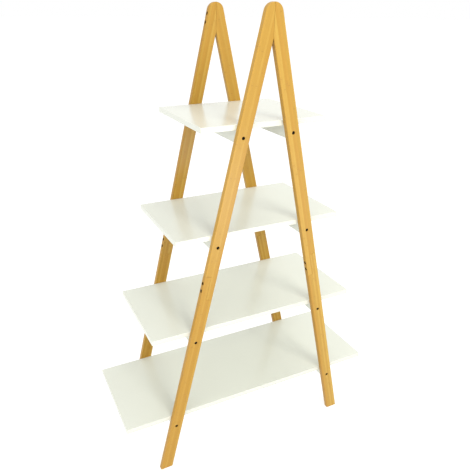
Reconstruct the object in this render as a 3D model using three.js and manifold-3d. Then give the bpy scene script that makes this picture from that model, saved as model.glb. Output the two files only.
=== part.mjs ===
// A ladder shelf. Two bamboo A-frames stand parallel, one in front and one behind. Four white
// boards lie between them on front-to-back battens, and every joint is bolted.
//
// Lengths are in millimetres. X runs along the boards, Y from the front to the back and Z up.
// The origin is on the floor, under the middle of the shelf.

import * as THREE from 'three';
import { mergeVertices } from 'three/addons/utils/BufferGeometryUtils.js';
import Module from 'manifold-3d';

const wasm = await Module();
wasm.setup();

// ---------------------------------------------------------------- driving dimensions

const overallHeight = 1385;
const overallDepth = 345;
const stockWidth = 38; // the bamboo legs and the battens are cut from the same section
const stockThickness = 15;
const legSlope = 0.239; // sideways run of a leg for each unit of its height
const jointGap = 0.3; // clearance between pieces that touch
const counterboreGap = 0.5; // clearance round the head of a bolt

const boardThickness = 15;
const lowestBoardTop = 200;
const boardPitch = 300;
const boardWidths = { bottom: 895, lower: 700, upper: 535, top: 380 };

const lapLevel = 643; // height of the middle of the half-lap that joins a leg's two lengths
const lapLength = 74;
const lapBoltSpacing = 24;
const apexBoltLevels = { upper: 1354, lower: 1330 };

const legEase = 1; // the small rounding along the edges of the bamboo
const boardEase = 1.2;
const cornerRadius = 3; // of a board, seen from above

// A bolt's head sits in a counterbore, with its face a little below the wood.
const battenBolt = { headDiameter: 8.5, headHeight: 5, recess: 1.2, shankDiameter: 5, shankLength: 45, socket: 4 };
const lapBolt = { headDiameter: 10, headHeight: 5, recess: 1.2, shankDiameter: 6, shankLength: 27, socket: 5 };
const apexBolt = { headDiameter: 10, headHeight: 5, recess: 1.8, shankDiameter: 6, shankLength: 36, socket: 5 };
const socketDepth = 2.8;
const shankChamfer = 1;
const boltSides = 12;
const arcSteps = 8; // straight steps in the quarter of the apex that one leg carries

// ---------------------------------------------------------------- sizes that follow

const half = (length) => length / 2;
const legAngle = Math.atan(legSlope);
const legAxisUp = new THREE.Vector2(-Math.sin(legAngle), Math.cos(legAngle));
const legOutward = new THREE.Vector2(Math.cos(legAngle), Math.sin(legAngle));
const levelHalfWidth = half(stockWidth) / Math.cos(legAngle); // half a leg, measured level

const frameCentreY = half(overallDepth - stockThickness);
const innerDepth = overallDepth - 2 * stockThickness;
const boardDepth = innerDepth - 2 * jointGap;
const battenHeight = stockWidth - jointGap;
const battenDrop = boardThickness + half(stockWidth); // from a board's top to its batten bolts

const legCentreX = (level) => legSlope * (overallHeight - level);

// The round top touches both outer edges and reaches the overall height.
const apexRadius = half(stockWidth) / (1 - Math.sin(legAngle));
const apexCentreLevel = overallHeight - apexRadius;

const tiers = Object.entries(boardWidths).map(([name, width], index) => {
  const top = lowestBoardTop + index * boardPitch;
  return { name, width, top, boltLevel: top - battenDrop };
});

// ---------------------------------------------------------------- materials

const bamboo = { color: 0xdca556, roughness: 0.45, metalness: 0 };
const whiteLacquer = { color: 0xf2f2ec, roughness: 0.32, metalness: 0 };
const blackSteel = { color: 0x1d1b1a, roughness: 0.5, metalness: 0.6 };

function namedMesh(name, geometry, finish) {
  const mesh = new THREE.Mesh(geometry, new THREE.MeshStandardMaterial(finish));
  mesh.name = name;
  return mesh;
}

// ---------------------------------------------------------------- solid modelling helpers

function toManifold(geometry) {
  const bare = geometry.clone();
  bare.deleteAttribute('normal');
  bare.deleteAttribute('uv');
  const merged = mergeVertices(bare, 1e-4);
  return new wasm.Manifold(new wasm.Mesh({
    numProp: 3,
    vertProperties: new Float32Array(merged.attributes.position.array),
    triVerts: new Uint32Array(merged.index.array),
  }));
}

function toGeometry(solid) {
  const { vertProperties, triVerts } = solid.getMesh();
  const geometry = new THREE.BufferGeometry();
  geometry.setAttribute('position', new THREE.BufferAttribute(new Float32Array(vertProperties), 3));
  geometry.setIndex(new THREE.BufferAttribute(new Uint32Array(triVerts), 1));
  const faceted = geometry.toNonIndexed();
  faceted.computeVertexNormals();
  return faceted;
}

function cutAway(geometry, tools) {
  return toGeometry(tools.reduce((solid, tool) => solid.subtract(toManifold(tool)), toManifold(geometry)));
}

// A slab whose outline lies in X and Z, centred on Y = 0, with its edges eased.
function uprightSlab(outline, thickness, ease) {
  const slab = new THREE.ExtrudeGeometry(new THREE.Shape(outline), {
    depth: thickness - 2 * ease,
    bevelSize: ease,
    bevelThickness: ease,
    bevelOffset: -ease,
    bevelSegments: 2,
  });
  slab.translate(0, 0, ease - half(thickness));
  slab.rotateX(half(Math.PI));
  return slab;
}

// A slab that lies flat, centred on the origin, with eased edges and rounded corners.
function flatSlab(width, depth, thickness) {
  const shape = new THREE.Shape();
  const x = half(width) - cornerRadius;
  const y = half(depth) - cornerRadius;
  const quarter = half(Math.PI);
  [[x, y], [-x, y], [-x, -y], [x, -y]].forEach(([cornerX, cornerY], turn) => {
    shape.absarc(cornerX, cornerY, cornerRadius, turn * quarter, (turn + 1) * quarter);
  });
  const slab = new THREE.ExtrudeGeometry(shape, {
    depth: thickness - 2 * boardEase,
    bevelSize: boardEase,
    bevelThickness: boardEase,
    bevelOffset: -boardEase,
    bevelSegments: 2,
    curveSegments: 3,
  });
  slab.translate(0, 0, boardEase - half(thickness));
  return slab;
}

// ---------------------------------------------------------------- bolts
// A bolt is turned round Y. Y = 0 is the wood's surface, and the bolt goes in along +Y.

const lathe = (profile) => new THREE.LatheGeometry(
  profile.map(([radius, y]) => new THREE.Vector2(radius, y)),
  boltSides,
);

const seatDepth = (bolt) => bolt.recess + bolt.headHeight;
const reach = (bolt) => seatDepth(bolt) + bolt.shankLength;

function boltGeometry(bolt) {
  const head = half(bolt.headDiameter);
  const shank = half(bolt.shankDiameter);
  const rim = 0.6;
  const turned = lathe([
    [0, bolt.recess],
    [head - rim, bolt.recess],
    [head, bolt.recess + rim],
    [head, seatDepth(bolt)],
    [shank, seatDepth(bolt)],
    [shank, reach(bolt) - shankChamfer],
    [shank - shankChamfer, reach(bolt)],
    [0, reach(bolt)],
  ]);
  const socketRadius = bolt.socket / Math.sqrt(3);
  const socket = new THREE.CylinderGeometry(socketRadius, socketRadius, 2 * socketDepth, 6);
  socket.translate(0, bolt.recess, 0);
  return cutAway(turned, [socket]);
}

function boltHole(bolt) {
  const head = half(bolt.headDiameter) + counterboreGap;
  const shank = half(bolt.shankDiameter) + jointGap;
  const mouth = -bolt.headDiameter;
  return lathe([
    [0, mouth],
    [head, mouth],
    [head, seatDepth(bolt) + jointGap],
    [shank, seatDepth(bolt) + jointGap],
    [shank, reach(bolt) + jointGap],
    [0, reach(bolt) + jointGap],
  ]);
}

// Turns something made round Y to point along `into`, with its Y = 0 at `mouth`.
function seatMatrix({ mouth, into }) {
  const turn = new THREE.Quaternion().setFromUnitVectors(new THREE.Vector3(0, 1, 0), into);
  return new THREE.Matrix4().compose(mouth, turn, new THREE.Vector3(1, 1, 1));
}

function boltMesh({ name, bolt, ...seat }) {
  const mesh = namedMesh(name, boltGeometry(bolt), blackSteel);
  mesh.applyMatrix4(seatMatrix(seat));
  return mesh;
}

const holeFor = ({ bolt, ...seat }) => boltHole(bolt).applyMatrix4(seatMatrix(seat));

// ---------------------------------------------------------------- A-frames
// A frame is drawn round its own mid-plane, Y = 0. `side` is -1 for the left leg and 1 for the
// right one; `facing` is -1 for the front frame, whose outside looks along -Y, and 1 for the rear.

// A point of the right leg: `across` its centreline and `along` it, measured from a level.
function legPoint(level, across, along = 0) {
  return new THREE.Vector2(legCentreX(level), level)
    .addScaledVector(legOutward, across)
    .addScaledVector(legAxisUp, along);
}

const mirrored = (outline, side) => outline.map((point) => new THREE.Vector2(side * point.x, point.y));

// From the floor to the half-lap. Its tongue is the outer half of the leg.
function lowerLegOutline() {
  const edge = half(stockWidth);
  const gap = half(jointGap);
  return [
    new THREE.Vector2(legCentreX(0) - levelHalfWidth, 0),
    new THREE.Vector2(legCentreX(0) + levelHalfWidth, 0),
    legPoint(lapLevel, edge, half(lapLength) - gap),
    legPoint(lapLevel, gap, half(lapLength) - gap),
    legPoint(lapLevel, gap, -half(lapLength) - gap),
    legPoint(lapLevel, -edge, -half(lapLength) - gap),
  ];
}

// From the half-lap to the apex, where it meets its twin in a mitre under the round top.
function upperLegOutline() {
  const edge = half(stockWidth);
  const gap = half(jointGap);
  const crotchLevel = overallHeight - (levelHalfWidth + gap) / legSlope;
  const topAngle = Math.acos(gap / apexRadius);
  const roundTop = Array.from({ length: arcSteps + 1 }, (_, step) => {
    const angle = THREE.MathUtils.lerp(legAngle, topAngle, step / arcSteps);
    return new THREE.Vector2(
      apexRadius * Math.cos(angle),
      apexCentreLevel + apexRadius * Math.sin(angle),
    );
  });
  return [
    legPoint(lapLevel, -edge, gap - half(lapLength)),
    legPoint(lapLevel, -gap, gap - half(lapLength)),
    legPoint(lapLevel, -gap, half(lapLength) + gap),
    legPoint(lapLevel, edge, half(lapLength) + gap),
    ...roundTop,
    new THREE.Vector2(gap, crotchLevel),
  ];
}

// The lap's two bolts go in square to the leg, all from the left: through the outer edge of a
// left leg and the inner edge of a right one.
function lapBolts(label, side) {
  return [['upper', 1], ['lower', -1]].map(([place, step]) => {
    const point = legPoint(lapLevel, side * -half(stockWidth), step * half(lapBoltSpacing));
    return {
      name: `lap_bolt_${label}_${place}`,
      bolt: lapBolt,
      mouth: new THREE.Vector3(side * point.x, 0, point.y),
      into: new THREE.Vector3(legOutward.x, 0, side * legOutward.y),
    };
  });
}

// The apex's two bolts go in level, through the right leg in front and the left leg behind.
function apexBolts(label, facing) {
  return Object.entries(apexBoltLevels).map(([place, level]) => ({
    name: `apex_bolt_${label}_${place}`,
    bolt: apexBolt,
    mouth: new THREE.Vector3(-facing * (legCentreX(level) + levelHalfWidth), 0, level),
    into: new THREE.Vector3(facing, 0, 0),
  }));
}

// One bolt through the leg's face for each batten.
function battenBolts(label, side, facing) {
  return tiers.map((tier) => ({
    name: `batten_bolt_${tier.name}_${label}`,
    bolt: battenBolt,
    mouth: new THREE.Vector3(side * legCentreX(tier.boltLevel), facing * half(stockThickness), tier.boltLevel),
    into: new THREE.Vector3(0, -facing, 0),
  }));
}

function aFrame(label, facing) {
  const frame = new THREE.Group();
  frame.position.y = facing * frameCentreY;
  const topBolts = apexBolts(label, facing);
  frame.add(...topBolts.map(boltMesh));

  for (const [sideName, side] of [['left', -1], ['right', 1]]) {
    const legLabel = `${label}_${sideName}`;
    const splice = lapBolts(legLabel, side);
    const faceBolts = battenBolts(legLabel, side, facing);
    const isLow = ({ mouth }) => mouth.z < lapLevel;
    const lower = uprightSlab(mirrored(lowerLegOutline(), side), stockThickness, legEase);
    const upper = uprightSlab(mirrored(upperLegOutline(), side), stockThickness, legEase);
    const lowerHoles = [...splice, ...faceBolts.filter(isLow)].map(holeFor);
    const upperHoles = [...splice, ...topBolts, ...faceBolts.filter((bolt) => !isLow(bolt))].map(holeFor);
    frame.add(
      namedMesh(`leg_${legLabel}_lower`, cutAway(lower, lowerHoles), bamboo),
      namedMesh(`leg_${legLabel}_upper`, cutAway(upper, upperHoles), bamboo),
      ...splice.map(boltMesh),
      ...faceBolts.map(boltMesh),
    );
  }
  return frame;
}

// ---------------------------------------------------------------- boards and battens

function board(tier) {
  const mesh = namedMesh(
    `board_${tier.name}`,
    flatSlab(tier.width, boardDepth, boardThickness),
    whiteLacquer,
  );
  mesh.position.z = tier.top - half(boardThickness);
  return mesh;
}

// A batten stands on edge under its board, with a pilot hole in each end for its bolt.
function batten(tier, sideName, side) {
  const outline = [[-1, -1], [1, -1], [1, 1], [-1, 1]].map(([x, z]) => (
    new THREE.Vector2(x * half(stockThickness), z * half(battenHeight) - half(jointGap))
  ));
  const bar = uprightSlab(outline, boardDepth, legEase);
  const pilotRadius = half(battenBolt.shankDiameter) + jointGap;
  const pilotDepth = reach(battenBolt) - stockThickness + jointGap;
  const pilots = [-1, 1].map((end) => {
    const pilot = new THREE.CylinderGeometry(pilotRadius, pilotRadius, 2 * pilotDepth, boltSides);
    return pilot.translate(0, end * half(innerDepth), 0);
  });
  const mesh = namedMesh(`batten_${tier.name}_${sideName}`, cutAway(bar, pilots), whiteLacquer);
  mesh.position.set(side * legCentreX(tier.boltLevel), 0, tier.boltLevel);
  return mesh;
}

// ---------------------------------------------------------------- the shelf

const shelf = new THREE.Group();
shelf.add(aFrame('front', -1), aFrame('rear', 1));
for (const tier of tiers) {
  shelf.add(board(tier), batten(tier, 'left', -1), batten(tier, 'right', 1));
}

export default shelf;
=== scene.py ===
# %% [markdown]
# # A ladder shelf, one cell at a time
# This script dresses a finished CAD model of a ladder shelf: two bamboo A-frames, four white
# boards that lie between them on battens, and the black bolts that hold everything together.
# The CAD gives every size and place. Blender adds what a camera would see: eased edges, bolt
# holes, bamboo strips, lacquer and light. Lengths are in metres and Z points up.

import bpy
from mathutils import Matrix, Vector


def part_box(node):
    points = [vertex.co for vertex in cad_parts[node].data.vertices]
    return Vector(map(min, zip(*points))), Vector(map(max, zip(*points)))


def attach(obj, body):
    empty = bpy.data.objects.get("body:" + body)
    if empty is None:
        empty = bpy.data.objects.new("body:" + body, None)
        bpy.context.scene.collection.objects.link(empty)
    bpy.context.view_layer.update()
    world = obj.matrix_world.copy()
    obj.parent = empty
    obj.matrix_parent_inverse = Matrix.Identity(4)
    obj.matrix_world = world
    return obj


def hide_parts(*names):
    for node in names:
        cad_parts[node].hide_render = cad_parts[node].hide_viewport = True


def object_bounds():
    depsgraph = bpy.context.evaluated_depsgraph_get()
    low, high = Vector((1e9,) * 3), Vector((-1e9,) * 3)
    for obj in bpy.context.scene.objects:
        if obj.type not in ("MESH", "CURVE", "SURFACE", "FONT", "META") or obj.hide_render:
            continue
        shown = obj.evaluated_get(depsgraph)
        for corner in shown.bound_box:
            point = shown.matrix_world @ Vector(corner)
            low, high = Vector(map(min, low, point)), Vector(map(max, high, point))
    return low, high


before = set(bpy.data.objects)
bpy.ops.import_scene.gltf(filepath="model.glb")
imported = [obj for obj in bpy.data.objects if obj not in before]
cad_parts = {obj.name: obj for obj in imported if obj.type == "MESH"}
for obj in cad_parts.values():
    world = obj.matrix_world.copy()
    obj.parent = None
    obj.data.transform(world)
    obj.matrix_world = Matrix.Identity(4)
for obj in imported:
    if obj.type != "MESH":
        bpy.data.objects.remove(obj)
cad_low, cad_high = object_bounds()
print("CAD box", [round(side, 4) for side in cad_high - cad_low])

# %% Blender's own modules
import math
import random

import bmesh
import bpy
from mathutils import Matrix, Vector

mm = 0.001
scene = bpy.context.scene
scene.view_settings.view_transform = "Standard"

# %% [markdown]
# ## Camera
# A viewer stands in front of the shelf and to its left, with the eye level with its top, and
# looks down at it. The camera is turned in three steps, like a tripod head: pan round Z, tilt
# down, then a hair of roll. The small shift slides the view without turning the camera, so the
# legs keep their true lean.

# %% Camera
camera_data = bpy.data.cameras.new("viewer")
camera_data.sensor_width = 36
camera_data.lens = 38.41
camera_data.shift_x = 0.0315
camera_data.shift_y = 0.0172
camera_data.clip_end = 200
camera = bpy.data.objects.new("viewer", camera_data)
scene.collection.objects.link(camera)
pan = Matrix.Rotation(math.radians(-25.71), 4, "Z")
tilt = Matrix.Rotation(math.radians(90 - 25.45), 4, "X")
roll = Matrix.Rotation(math.radians(0.34), 4, "Z")
camera.matrix_world = Matrix.Translation((-0.686, -1.3031, 1.3778)) @ pan @ tilt @ roll
scene.camera = camera
print("camera at", [round(value, 3) for value in camera.location])

# %% [markdown]
# ## Light
# A white room lights every side, so nothing goes dark. The key light is a softbox in front, a
# little to the right and well above the shelf. It makes the forward faces the brightest, and the
# front legs throw soft shadows back across the boards. A second softbox hangs high on the right
# and brightens the right half of every board, and a third fills in from the left. A small one
# lies low in front, where its mirror image falls on the middle of the left leg. It is kept out of
# the diffuse light, so all it adds is that sheen. Softness comes from the size of a light: the
# larger it is, the wider the edge of each shadow.

# %% White room
room = bpy.data.worlds.new("white_room")
room.use_nodes = True
background = room.node_tree.nodes["Background"]
background.inputs["Color"].default_value = (1, 1, 1, 1)
background.inputs["Strength"].default_value = 1.0
scene.world = room

# %% Softboxes
def pointed(place, direction, axis):
    """The matrix that stands a thing at `place` with its own `axis` along `direction`."""
    return Matrix.Translation(place) @ direction.to_track_quat(axis, "Y").to_matrix().to_4x4()


def softbox(name, place, aim, size, power, colour):
    """A square area light that points at `aim`."""
    data = bpy.data.lights.new(name, "AREA")
    data.shape = "SQUARE"
    data.size = size
    data.energy = power
    data.color = colour
    lamp = bpy.data.objects.new(name, data)
    scene.collection.objects.link(lamp)
    lamp.matrix_world = pointed(place, Vector(aim) - Vector(place), "-Z")
    return lamp


softbox("key_softbox", (0.45, -3.1, 2.9), (0, 0, 0.8), 1.5, 70, (1, 0.99, 0.95))
softbox("high_softbox", (2.0, 0.3, 4.2), (0, 0, 0.6), 1.5, 32, (1, 1, 0.98))
softbox("left_softbox", (-2.8, -2.0, 2.0), (0, 0, 0.6), 2.4, 36, (1, 1, 0.97))
sheen = softbox("low_softbox", (0.42, -1.4, 0.45), (-0.15, -0.17, 0.9), 0.5, 9, (1, 1, 0.98))
sheen.visible_diffuse = False
print("lights", sorted(lamp.name for lamp in bpy.data.lights))

# %% [markdown]
# ## A small language for shaders
# A material is a graph of nodes, and arithmetic is hard to read as a graph. `Wire` wraps one
# output socket, so that `1 - mask * 0.3` adds the Math nodes by itself. `Finish` starts a
# material, and its method `node` adds any other node: first the settings, then the sockets.

# %% Wires and finishes
class Wire:
    """One output socket that can be added, multiplied and so on."""

    def __init__(self, finish, socket):
        self.finish = finish
        self.socket = socket

    def maths(self, operation, *values):
        return self.finish.node("ShaderNodeMath", {"operation": operation}, dict(enumerate(values)))

    def __add__(self, other):
        return self.maths("ADD", self, other)

    __radd__ = __add__

    def __sub__(self, other):
        return self.maths("SUBTRACT", self, other)

    def __rsub__(self, other):
        return self.maths("SUBTRACT", other, self)

    def __mul__(self, other):
        return self.maths("MULTIPLY", self, other)

    __rmul__ = __mul__

    def __truediv__(self, other):
        return self.maths("DIVIDE", self, other)

    def __rtruediv__(self, other):
        return self.maths("DIVIDE", other, self)

    def __abs__(self):
        return self.maths("ABSOLUTE", self)

    def root(self):
        return self.maths("SQRT", self)

    def floor(self):
        return self.maths("FLOOR", self)

    def fraction(self):
        return self.maths("FRACT", self)

    def ramp(self, start, end):
        """0 up to start, 1 from end on, with a soft S between. start may be above end."""
        settings = {"interpolation_type": "SMOOTHSTEP"}
        return self.finish.node("ShaderNodeMapRange", settings, {0: self, 1: start, 2: end})


class Finish:
    """A material that is built node by node."""

    def __init__(self, name):
        self.material = bpy.data.materials.new(name)
        self.material.use_nodes = True
        self.tree = self.material.node_tree
        self.tree.nodes.clear()

    def node(self, kind, settings=None, sockets=None, output=0):
        made = self.tree.nodes.new(kind)
        for setting, value in (settings or {}).items():
            setattr(made, setting, value)
        for key, value in (sockets or {}).items():
            if isinstance(value, Wire):
                self.tree.links.new(value.socket, made.inputs[key])
            else:
                made.inputs[key].default_value = value
        return None if output is None else Wire(self, made.outputs[output])

    def parts(self, vector):
        """The three numbers of a vector."""
        split = self.tree.nodes.new("ShaderNodeSeparateXYZ")
        self.tree.links.new(vector.socket, split.inputs[0])
        return [Wire(self, output) for output in split.outputs]

    def vector(self, x, y, z):
        return self.node("ShaderNodeCombineXYZ", None, {0: x, 1: y, 2: z})

    def attribute(self, name):
        return self.node("ShaderNodeAttribute", {"attribute_name": name}, output="Vector")

    def place(self):
        """Where the point is in its object's own axes, in metres."""
        return self.node("ShaderNodeTexCoord", output="Object")

    def noise(self, place, scale=1.0, detail=2.0, rough=0.5):
        sockets = {"Vector": place, "Scale": scale, "Detail": detail, "Roughness": rough}
        return self.node("ShaderNodeTexNoise", None, sockets)

    def chance(self, x, y):
        """A number from 0 to 1 that is picked anew for each pair x, y."""
        pair = self.vector(x, y, 0)
        return self.node("ShaderNodeTexWhiteNoise", {"noise_dimensions": "2D"}, {"Vector": pair})

    def mix(self, share, first, second):
        """Colour `first`, with `share` of `second` mixed in."""
        settings = {"data_type": "RGBA"}
        return self.node("ShaderNodeMix", settings, {0: share, 6: first, 7: second}, output=2)

    def bump(self, height, distance, strength):
        sockets = {"Height": height, "Distance": distance, "Strength": strength}
        return self.node("ShaderNodeBump", None, sockets)

    def surface(self, sockets):
        """Ends the material with one Principled shader."""
        shader = self.node("ShaderNodeBsdfPrincipled", None, sockets)
        self.node("ShaderNodeOutputMaterial", None, {"Surface": shader}, output=None)
        print(self.material.name, "has", len(self.tree.nodes), "nodes")
        return self.material


def paint(red, green, blue):
    """A colour given as the light it throws back, from 0 to 1 in each channel."""
    return (red, green, blue, 1)


# %% [markdown]
# ## Studio floor
# A pale matt floor under the shelf, wide enough that its edge is lost in the white room. It glows
# from within, as a light table does, and with the lamps on it that makes it plain white.

# %% Floor
floor_radius = 60
floor_sides = 96


def floor_finish():
    floor = Finish("pale_studio_floor")
    mottle = floor.noise(floor.place(), scale=3, detail=4)
    tone = floor.mix(mottle, paint(0.46, 0.46, 0.46), paint(0.48, 0.48, 0.48))
    return floor.surface({
        "Base Color": tone,
        "Roughness": 0.85,
        "Emission Color": paint(1, 1, 1),
        "Emission Strength": 0.6,
    })


floor_mesh = bpy.data.meshes.new("studio_floor")
floor_build = bmesh.new()
bmesh.ops.create_circle(floor_build, cap_ends=True, radius=floor_radius, segments=floor_sides)
floor_build.to_mesh(floor_mesh)
floor_build.free()
floor_mesh.materials.append(floor_finish())
studio_floor = bpy.data.objects.new("studio_floor", floor_mesh)
scene.collection.objects.link(studio_floor)

# %% [markdown]
# ## Bamboo
# The legs are cut from a panel of bamboo strips glued side by side. Each strip has its own tone,
# and along it every quarter of a metre or so comes a node, the ring where a leaf once grew: a
# short dark line across that strip alone. Fine fibres run lengthwise between the nodes.
#
# The pattern has to follow each leg, and the legs lean. So every leg carries two attributes,
# `grain` and `stock`, which are written into the mesh further down. `grain` says how far a point
# lies across, through and along its leg, and `stock` says which part of the panel it came from.

# %% Bamboo finish
strip_width = 6.4 * mm
node_pitch = 0.24


def bamboo_finish():
    bamboo = Finish("clear_lacquered_bamboo")
    across, through, along = bamboo.parts(bamboo.attribute("grain"))
    drift, lot, start = bamboo.parts(bamboo.attribute("stock"))
    length = along + start

    # Strips: each has a number, and what is added to `lot` makes each draw for it a new one.
    strip = (across + drift) / strip_width
    number = strip.floor()
    inside = strip - number
    tone = bamboo.chance(number, lot)
    warmth = bamboo.chance(number, lot + 5)

    # Fibres: noise that is squeezed hard across the grain and hardly at all along it.
    fibre_place = bamboo.vector(across / (0.5 * mm), through / (0.5 * mm), length / (30 * mm))
    fibres = bamboo.noise(fibre_place, detail=3, rough=0.6).ramp(0.42, 0.72)
    streak_place = bamboo.vector(across / (3 * mm), through / (6 * mm), length / (170 * mm))
    streaks = bamboo.noise(streak_place, detail=3)

    # Nodes: the distance along a strip to its nearest ring, with a slightly wavy edge.
    wobble_place = bamboo.vector(across / (2.5 * mm), through / (2.5 * mm), length / (20 * mm))
    wobble = (bamboo.noise(wobble_place) - 0.5) * (2.2 * mm)
    rings = length / node_pitch + bamboo.chance(number, lot + 9)
    from_ring = abs(rings.fraction() - 0.5) * node_pitch + wobble
    ring = abs(from_ring).ramp(1.5 * mm, 0.3 * mm)
    halo = from_ring.ramp(14 * mm, 0)

    # Seams: the glue line on either side of a strip.
    seam = abs(inside - 0.5).ramp(0.47, 0.5)

    pale = paint(0.535, 0.342, 0.064)
    honey = paint(0.375, 0.200, 0.021)
    ginger = paint(0.400, 0.172, 0.010)
    colour = bamboo.mix(tone * 0.75 + streaks * 0.25, pale, honey)
    colour = bamboo.mix(warmth * 0.40, colour, ginger)
    colour = bamboo.mix(fibres * 0.30, colour, paint(0.330, 0.160, 0.025))
    colour = bamboo.mix(halo * 0.15, colour, paint(0.360, 0.185, 0.036))
    colour = bamboo.mix(ring * 0.30, colour, paint(0.230, 0.110, 0.022))
    colour = bamboo.mix(seam * 0.35, colour, paint(0.260, 0.125, 0.022))

    relief = streaks * 0.3 - fibres * 0.5 - seam * 0.8 - ring * 0.6
    return bamboo.surface({
        "Base Color": colour,
        "Roughness": 0.40 + fibres * 0.10 + streaks * 0.06,
        "Specular IOR Level": 0.25,
        "Coat Weight": 0.06,
        "Coat Roughness": 0.22,
        "Normal": bamboo.bump(relief, 0.05 * mm, 0.6),
    })


bamboo = bamboo_finish()

# %% [markdown]
# ## White lacquer on the boards
# The boards are fibreboard under a cream-white lacquer with a soft gloss. It mirrors the legs
# faintly. A sprayed coat is never quite flat: it has a shallow pebbling about two millimetres
# across, called orange peel, and wiping leaves it a little duller in places.

# %% Board finish
def board_finish():
    lacquer = Finish("cream_white_lacquer")
    place = lacquer.place()
    cloud = lacquer.noise(place, scale=5, detail=3)
    peel = lacquer.noise(place, scale=480, detail=1)
    x, y, z = lacquer.parts(place)
    wiped = lacquer.noise(lacquer.vector(x * 9, y * 34, z * 34), detail=5, rough=0.65)
    colour = lacquer.mix(cloud, paint(0.632, 0.648, 0.570), paint(0.652, 0.668, 0.592))
    return lacquer.surface({
        "Base Color": colour,
        "Roughness": 0.24 + wiped * 0.04,
        "Coat Weight": 0.25,
        "Coat Roughness": 0.12,
        "Normal": lacquer.bump(peel, 0.004 * mm, 0.3),
    })


white_lacquer = board_finish()

# %% [markdown]
# ## White paint on the battens
# The battens are timber, painted to match the boards. Paint over timber shows the grain as faint
# ridges along the length, and it is duller than the sprayed boards.

# %% Batten finish
def batten_finish():
    paintwork = Finish("white_painted_timber")
    place = paintwork.place()
    x, y, z = paintwork.parts(place)
    grain_place = paintwork.vector(x / (1.1 * mm), y / (55 * mm), z / (1.1 * mm))
    grain = paintwork.noise(grain_place, detail=3)
    cloud = paintwork.noise(place, scale=14, detail=3)
    tone = cloud * 0.6 + grain * 0.4
    colour = paintwork.mix(tone, paint(0.650, 0.665, 0.595), paint(0.685, 0.700, 0.632))
    return paintwork.surface({
        "Base Color": colour,
        "Roughness": 0.36 + grain * 0.16,
        "Normal": paintwork.bump(grain, 0.08 * mm, 0.6),
    })


white_paint = batten_finish()

# %% [markdown]
# ## Blackened steel
# The bolts are blackened steel, not painted: nearly black, still metallic, with fine rings left
# by the lathe on the flat of the head. The rings are noise that depends only on the distance
# from the bolt's axis, which is its local Z.

# %% Bolt finish
def bolt_finish():
    steel = Finish("blackened_steel")
    place = steel.place()
    x, y, z = steel.parts(place)
    radius = (x * x + y * y).root()
    rings = steel.noise(steel.vector(radius / (0.12 * mm), 0, 0), detail=2)
    handled = steel.noise(place, scale=900, detail=3)
    colour = steel.mix(handled, paint(0.012, 0.008, 0.005), paint(0.026, 0.018, 0.012))
    return steel.surface({
        "Base Color": colour,
        "Metallic": 0.5,
        "Roughness": 0.5 + handled * 0.2,
        "Specular IOR Level": 0.06,
        "Normal": steel.bump(rings, 0.03 * mm, 0.5),
    })


blackened_steel = bolt_finish()

# %% [markdown]
# ## Turning a mesh into a piece
# Every piece of the shelf goes through the same last steps. It is linked to the scene, given its
# material, shaded, and told which CAD node it stands for. Shading is smooth except where two
# faces meet at more than 38 degrees, and the Weighted Normal modifier lets the large flat faces
# decide, so that a rounded edge does not smear its shine over them. Bolts of one kind share a
# mesh, which has its material already when the second of them comes.

# %% Finishing a piece
crease = math.radians(38)


def finish_piece(name, mesh, material, place=None):
    """Links a mesh as the piece that stands for the CAD node `name`."""
    piece = bpy.data.objects.new("seen_" + name, mesh)
    scene.collection.objects.link(piece)
    if place is not None:
        piece.matrix_world = place
    if not mesh.materials:
        mesh.materials.append(material)
    for polygon in mesh.polygons:
        polygon.use_smooth = True
    mesh.set_sharp_from_angle(angle=crease)
    even = piece.modifiers.new("even_shading", "WEIGHTED_NORMAL")
    even.keep_sharp = True
    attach(piece, "root")
    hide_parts(name)


def to_mesh(name, build):
    """Ends a bmesh and gives its mesh, with every face looking outwards."""
    bmesh.ops.recalc_face_normals(build, faces=build.faces)
    mesh = bpy.data.meshes.new(name)
    build.to_mesh(mesh)
    build.free()
    return mesh


# %% [markdown]
# ## Turned shapes
# Bolts and the holes for them are round, so both come from one lathe: a list of rings, each with
# a radius and a depth, skinned in order. A ring may also be a hexagon, given by its width across
# flats, and that makes the socket for the key without any cutting.

# %% Lathe
def hexagon(across_flats):
    """The radius of a hexagon in any direction, as a function of the angle."""
    def radius(angle):
        return across_flats / 2 / math.cos(angle % math.radians(60) - math.radians(30))
    return radius


def lathe(rings, facets):
    """Skins rings of (radius or hexagon, depth) round Z, and closes both ends with a flat face."""
    build = bmesh.new()
    angles = [math.tau * step / facets for step in range(facets)]
    loops = []
    for radius, depth in rings:
        reach = [radius(angle) if callable(radius) else radius for angle in angles]
        loops.append([
            build.verts.new((r * math.cos(angle), r * math.sin(angle), depth))
            for r, angle in zip(reach, angles)
        ])
    for upper, lower in zip(loops, loops[1:]):
        for step in range(facets):
            after = (step + 1) % facets
            build.faces.new((upper[step], upper[after], lower[after], lower[step]))
    build.faces.new(loops[0])
    build.faces.new(loops[-1])
    return build


# %% [markdown]
# ## The three bolts
# All are cylinder-head bolts for a hexagonal key. The ones through the face of a leg are the
# slimmest. The laps and the apex, which are pulled together from the narrow edge, take a thicker
# bolt. `recess` is how far the head sits below the wood.

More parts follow.
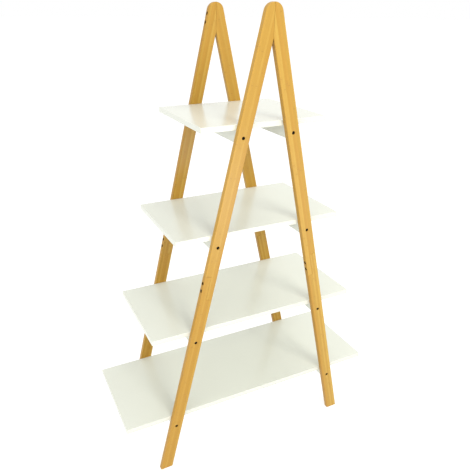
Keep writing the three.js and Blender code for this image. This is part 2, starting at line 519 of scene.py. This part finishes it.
# %% Bolt sizes
bolt_kinds = {
    "batten": {"head": 8.5 * mm, "shank": 5 * mm, "length": 50 * mm, "key": 4 * mm, "recess": 1.2 * mm},
    "lap": {"head": 10 * mm, "shank": 6 * mm, "length": 32 * mm, "key": 5 * mm, "recess": 1.2 * mm},
    "apex": {"head": 10 * mm, "shank": 6 * mm, "length": 41 * mm, "key": 5 * mm, "recess": 1.8 * mm},
}
head_height = 5 * mm
key_depth = 2.8 * mm
key_dish = 0.3 * mm  # the cone that the drill leaves at the foot of the socket
dish_share = 0.35  # the flat at the foot of that cone, as a share of the key
rim = 0.5 * mm  # the rounding round the head
rim_middle = rim * 0.3  # how far in the middle of that quarter round lies
lip = 0.2 * mm  # the small bevel on a bolt's other edges
head_clearance = 0.5 * mm
clearance = 0.3 * mm
bolt_facets = 36


def bolt_mesh(kind):
    """A bolt along Z, from the dished floor of its socket over the rim to the tip."""
    size = bolt_kinds[kind]
    head = size["head"] / 2
    shank = size["shank"] / 2
    top = size["recess"]
    rings = [
        (hexagon(size["key"] * dish_share), top + key_depth + key_dish),
        (hexagon(size["key"]), top + key_depth),
        (hexagon(size["key"]), top + lip),
        (hexagon(size["key"] + 2 * lip), top),
        (head - rim, top),
        (head - rim_middle, top + rim_middle),
        (head, top + rim),
        (head, top + head_height - lip),
        (head - lip, top + head_height),
        (shank + lip, top + head_height),
        (shank, top + head_height + lip),
        (shank, top + size["length"] - 2 * lip - rim),
        (shank - rim, top + size["length"]),
    ]
    return to_mesh(kind + "_bolt", lathe(rings, bolt_facets))


bolt_meshes = {kind: bolt_mesh(kind) for kind in bolt_kinds}
print("bolt faces", {kind: len(mesh.polygons) for kind, mesh in bolt_meshes.items()})

# %% [markdown]
# ## Where each bolt goes
# A bolt's CAD node gives its middle. Its direction follows from its job: the batten bolts go
# straight in through the face, the lap bolts square to the leaning leg and always from the left,
# and the apex bolts level, from the right in front and from the left behind.

# %% Bolt places
leg_slope = 0.239
lean = math.atan(leg_slope)
sides = {"left": -1, "right": 1}
facings = {"front": -1, "rear": 1}


def bolt_direction(name):
    """The way a bolt points, from its head inwards."""
    words = name.split("_")
    facing = next(facings[word] for word in words if word in facings)
    if name.startswith("batten"):
        return Vector((0, -facing, 0))
    if name.startswith("apex"):
        return Vector((facing, 0, 0))
    side = next(sides[word] for word in words if word in sides)
    return Vector((math.cos(lean), 0, side * math.sin(lean)))


def bolt_place(name):
    """The matrix that puts a turned shape in its hole, with its Z = 0 at the wood's surface."""
    size = bolt_kinds[name.split("_")[0]]
    low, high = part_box(name)
    inward = bolt_direction(name)
    mouth = (low + high) / 2 - inward * (size["recess"] + size["length"] / 2)
    return pointed(mouth, inward, "Z")


bolts = {name: bolt_place(name) for name in sorted(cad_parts) if "bolt" in name}
for name, place in bolts.items():
    finish_piece(name, bolt_meshes[name.split("_")[0]], blackened_steel, place)
print(len(bolts), "bolts seated")

# %% [markdown]
# ## Drilling
# A hole is a stepped bore: wide for the head, narrow for the shank. It is turned on the same
# lathe, a little larger than its bolt, and cut from the wood with the Boolean modifier. The rim is
# broken by a tiny chamfer, as a countersink leaves it, which catches a thin line of light. At the
# apex the bolt enters a leaning edge, so its bore has no even rim to break.

# %% Drills
rim_break = 0.4 * mm


def drill(name):
    """The bore of one bolt, where that bolt sits."""
    kind = name.split("_")[0]
    size = bolt_kinds[kind]
    head = size["head"] / 2 + head_clearance
    shank = size["shank"] / 2 + clearance
    seat = size["recess"] + head_height + clearance
    tip = size["recess"] + size["length"] + clearance
    if kind == "apex":
        mouth = [(head, -size["head"]), (head, 0)]
    else:
        mouth = [(head + rim_break, -size["head"]), (head + rim_break, 0), (head, rim_break)]
    build = lathe(mouth + [(head, seat), (shank, seat), (shank, tip)], bolt_facets)
    build.transform(bolts[name])
    return build


def cut(blank, names):
    """Cuts the holes of the named bolts out of a mesh."""
    tools = bmesh.new()
    for name in names:
        one = drill(name)
        part = bpy.data.meshes.new("drill")
        one.to_mesh(part)
        one.free()
        tools.from_mesh(part)
        bpy.data.meshes.remove(part)
    tool = bpy.data.objects.new("drills", to_mesh("drills", tools))
    work = bpy.data.objects.new("work", blank)
    for thing in (tool, work):
        scene.collection.objects.link(thing)
    boolean = work.modifiers.new("drill", "BOOLEAN")
    boolean.operation = "DIFFERENCE"
    boolean.solver = "EXACT"
    boolean.object = tool
    evaluated = work.evaluated_get(bpy.context.evaluated_depsgraph_get())
    drilled = bpy.data.meshes.new_from_object(evaluated)
    for thing in (tool, work):
        used = thing.data
        bpy.data.objects.remove(thing)
        bpy.data.meshes.remove(used)
    return drilled


# %% [markdown]
# ## Slabs with chosen edges eased
# A leg is a flat outline with thickness. Its long edges are rounded by a router. The ends that
# meet another piece are sawn, and only just broken with sandpaper, so that each joint shows as a
# hairline. The slab is therefore stacked from outlines: at each level every side of the outline
# moves inwards by its own share of the easing. That share is 1 for a routed edge, about a third
# for a sawn end, and 0 for the long side of a lap, which closes tightly.

# %% Slab
ease_steps = 4
routed = 1.0
sawn = 0.35
tight = 0.0
straight = 1e-6  # two sides that turn by less than this count as one line


def moved_inwards(outline, amounts):
    """The outline with side i, from point i to point i + 1, moved inwards by amounts[i]."""
    points = []
    for index, point in enumerate(outline):
        before = (point - outline[index - 1]).normalized()
        after = (outline[(index + 1) % len(outline)] - point).normalized()
        inward_before = Vector((-before.y, before.x))
        inward_after = Vector((-after.y, after.x))
        turn = before.x * after.y - before.y * after.x
        first, second = amounts[index - 1], amounts[index]
        if abs(turn) < straight:
            points.append(point + inward_after * second)
        else:
            points.append(point + (after * first - before * second) / turn)
    return points


def slab(outline, shares, thickness, ease):
    """Extrudes a counter-clockwise outline in X and Z through Y. shares[i] eases side i."""
    half = thickness / 2
    levels = []
    for step in range(ease_steps + 1):
        angle = math.radians(90) * step / ease_steps
        levels.append((ease * (1 - math.sin(angle)), half - ease * (1 - math.cos(angle))))
    levels += [(inset, -y) for inset, y in reversed(levels)]
    build = bmesh.new()
    loops = []
    for inset, y in levels:
        points = moved_inwards(outline, [inset * share for share in shares])
        loops.append([build.verts.new((point.x, y, point.y)) for point in points])
    for upper, lower in zip(loops, loops[1:]):
        for index in range(len(outline)):
            after = (index + 1) % len(outline)
            build.faces.new((upper[index], upper[after], lower[after], lower[index]))
    build.faces.new(loops[0])
    build.faces.new(loops[-1])
    return build


# %% [markdown]
# ## Leg outlines
# Both lengths of the right leg are drawn once, seen from the front, and mirrored for the left. The
# lower length runs from the floor to the half-lap, where it keeps only its outer half. The upper
# length keeps the inner half there, and runs up to the apex. At the apex it meets its twin in an
# upright mitre, under a round top that touches both outer edges.

# %% Leg outlines
height = cad_high.z
leg_low, leg_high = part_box("leg_front_right_lower")
leg_thickness = leg_high.y - leg_low.y
leg_width = 38 * mm
level_half = leg_width / 2 / math.cos(lean)
joint_gap = 0.3 * mm
lap_level = 0.643
lap_length = 74 * mm
apex_radius = leg_width / 2 / (1 - math.sin(lean))
apex_centre = height - apex_radius
arc_steps = 28
outward = Vector((math.cos(lean), math.sin(lean)))
upward = Vector((-math.sin(lean), math.cos(lean)))
print("foot reaches", round(leg_slope * height + level_half, 4), "CAD", round(leg_high.x, 4))


def leg_point(level, across, along):
    """A point of the right leg, from where its centreline crosses a level."""
    return Vector((leg_slope * (height - level), level)) + outward * across + upward * along


def lower_outline():
    """Pairs of a point and the share of the easing that the side after it takes."""
    edge = leg_width / 2
    gap = joint_gap / 2
    foot = leg_slope * height
    return [
        (Vector((foot - level_half, 0)), sawn),
        (Vector((foot + level_half, 0)), routed),
        (leg_point(lap_level, edge, lap_length / 2 - gap), sawn),
        (leg_point(lap_level, gap, lap_length / 2 - gap), tight),
        (leg_point(lap_level, gap, -lap_length / 2 - gap), sawn),
        (leg_point(lap_level, -edge, -lap_length / 2 - gap), routed),
    ]


def upper_outline():
    """The same pairs for the upper length, with the round top as an arc."""
    edge = leg_width / 2
    gap = joint_gap / 2
    crotch = height - (level_half + gap) / leg_slope
    last = math.acos(gap / apex_radius)
    points = [
        (leg_point(lap_level, -edge, gap - lap_length / 2), sawn),
        (leg_point(lap_level, -gap, gap - lap_length / 2), tight),
        (leg_point(lap_level, -gap, lap_length / 2 + gap), sawn),
        (leg_point(lap_level, edge, lap_length / 2 + gap), routed),
    ]
    for step in range(arc_steps + 1):
        angle = lean + (last - lean) * step / arc_steps
        spot = Vector((0, apex_centre)) + apex_radius * Vector((math.cos(angle), math.sin(angle)))
        points.append((spot, routed if step < arc_steps else sawn))
    points.append((Vector((gap, crotch)), routed))
    return points


# %% [markdown]
# ## Marking the grain
# Once a leg is cut and drilled, each of its points is measured along the leg's own axes, and the
# result is stored in the mesh for the bamboo finish to read. `stock` is the same for the whole
# piece: how far across a wide panel it was cut, which panel that was, and how far along it. It is
# drawn at random from a fixed seed, so that the pieces differ and every run agrees.

# %% Grain
draw = random.Random(41)
panel_band = (0.2, 1.0)  # how far across a panel a leg may be cut
panel_count = 90
panel_length = 30


def write_vectors(mesh, name, vectors):
    stored = mesh.attributes.new(name, "FLOAT_VECTOR", "POINT")
    for entry, vector in zip(stored.data, vectors):
        entry.vector = vector


def mark_grain(mesh, side, middle_y):
    foot = Vector((leg_slope * height, 0))
    measured = []
    for vertex in mesh.vertices:
        flat = Vector((side * vertex.co.x, vertex.co.z)) - foot
        measured.append((flat.dot(outward), vertex.co.y - middle_y, flat.dot(upward)))
    write_vectors(mesh, "grain", measured)
    drift = draw.uniform(*panel_band) + leg_width
    stock = (drift, draw.randrange(1, panel_count), draw.uniform(0, panel_length))
    write_vectors(mesh, "stock", [stock] * len(mesh.vertices))


# %% [markdown]
# ## Legs
# Eight lengths, each a blank that is mirrored if it is a left one, moved to its frame, drilled for
# the bolts that pass through it, and marked. Which bolts those are follows from their names and
# from their height.

# %% Legs
leg_ease = 1.2 * mm
outlines = {"lower": lower_outline(), "upper": upper_outline()}


def leg_blank(length, side, middle_y):
    points = [point for point, _ in outlines[length]]
    shares = [share for _, share in outlines[length]]
    build = slab(points, shares, leg_thickness, leg_ease)
    bmesh.ops.scale(build, vec=(side, 1, 1), verts=build.verts)
    bmesh.ops.translate(build, vec=(0, middle_y, 0), verts=build.verts)
    return to_mesh("leg_blank", build)


def bolts_of_leg(frame_name, side_name, length):
    wanted = []
    for name, place in bolts.items():
        if frame_name not in name:
            continue
        high = place.translation.z > lap_level
        if name.startswith("apex") and length == "upper":
            wanted.append(name)
        elif name.startswith("lap") and side_name in name:
            wanted.append(name)
        elif name.startswith("batten") and side_name in name and high == (length == "upper"):
            wanted.append(name)
    return wanted


for frame_name, facing in facings.items():
    for side_name, side in sides.items():
        for length in outlines:
            node = f"leg_{frame_name}_{side_name}_{length}"
            low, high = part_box(node)
            middle_y = (low.y + high.y) / 2
            names = bolts_of_leg(frame_name, side_name, length)
            wood = cut(leg_blank(length, side, middle_y), names)
            mark_grain(wood, side, middle_y)
            finish_piece(node, wood, bamboo)
            print(node, "drilled for", len(names), "bolts,", len(wood.polygons), "faces")

# %% [markdown]
# ## Boards
# A board is a flat slab with slightly rounded corners. Here every edge is eased, so every side
# takes the full share, and the finished slab is laid down from upright.

# %% Boards
corner_radius = 3 * mm
corner_steps = 5
board_ease = 1.4 * mm


def rounded_rectangle(width, depth, radius, steps):
    """A counter-clockwise outline whose corners are quarter circles of so many steps."""
    points = []
    for turn, (x, y) in enumerate([(1, 1), (-1, 1), (-1, -1), (1, -1)]):
        centre = Vector((x * (width / 2 - radius), y * (depth / 2 - radius)))
        for step in range(steps + 1):
            angle = math.radians(90) * (turn + step / steps)
            points.append(centre + radius * Vector((math.cos(angle), math.sin(angle))))
    return points


for node in ("board_bottom", "board_lower", "board_upper", "board_top"):
    low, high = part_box(node)
    size = high - low
    outline = rounded_rectangle(size.x, size.y, corner_radius, corner_steps)
    build = slab(outline, [routed] * len(outline), size.z, board_ease)
    lay_down = Matrix.Translation((low + high) / 2) @ Matrix.Rotation(math.radians(-90), 4, "X")
    build.transform(lay_down)
    finish_piece(node, to_mesh(node, build), white_lacquer)
    print(node, "is", [round(side / mm) for side in size], "mm")

# %% [markdown]
# ## Battens
# A batten is a plain bar on edge, with its long edges rounded and its ends sawn square against
# the legs. The outline is its end, so the bar is a slab as thick as the batten is long, and the
# share of the easing that a side takes is how far the sawn end is broken. A hole in each end
# takes the bolt that comes through the leg.

# %% Battens
batten_ease = 1.0 * mm
batten_steps = 4
end_share = 0.3
battens = [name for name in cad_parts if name.startswith("batten_") and "bolt" not in name]

for node in sorted(battens):
    low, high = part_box(node)
    size = high - low
    outline = rounded_rectangle(size.x, size.z, batten_ease, batten_steps)
    build = slab(outline, [end_share] * len(outline), size.y, batten_ease)
    build.transform(Matrix.Translation((low + high) / 2))
    tier, side_name = node.split("_")[1:]
    ends = [f"batten_bolt_{tier}_{facing}_{side_name}" for facing in facings]
    finish_piece(node, cut(to_mesh(node, build), ends), white_paint)
    print(node, "is", [round(side / mm) for side in size], "mm")
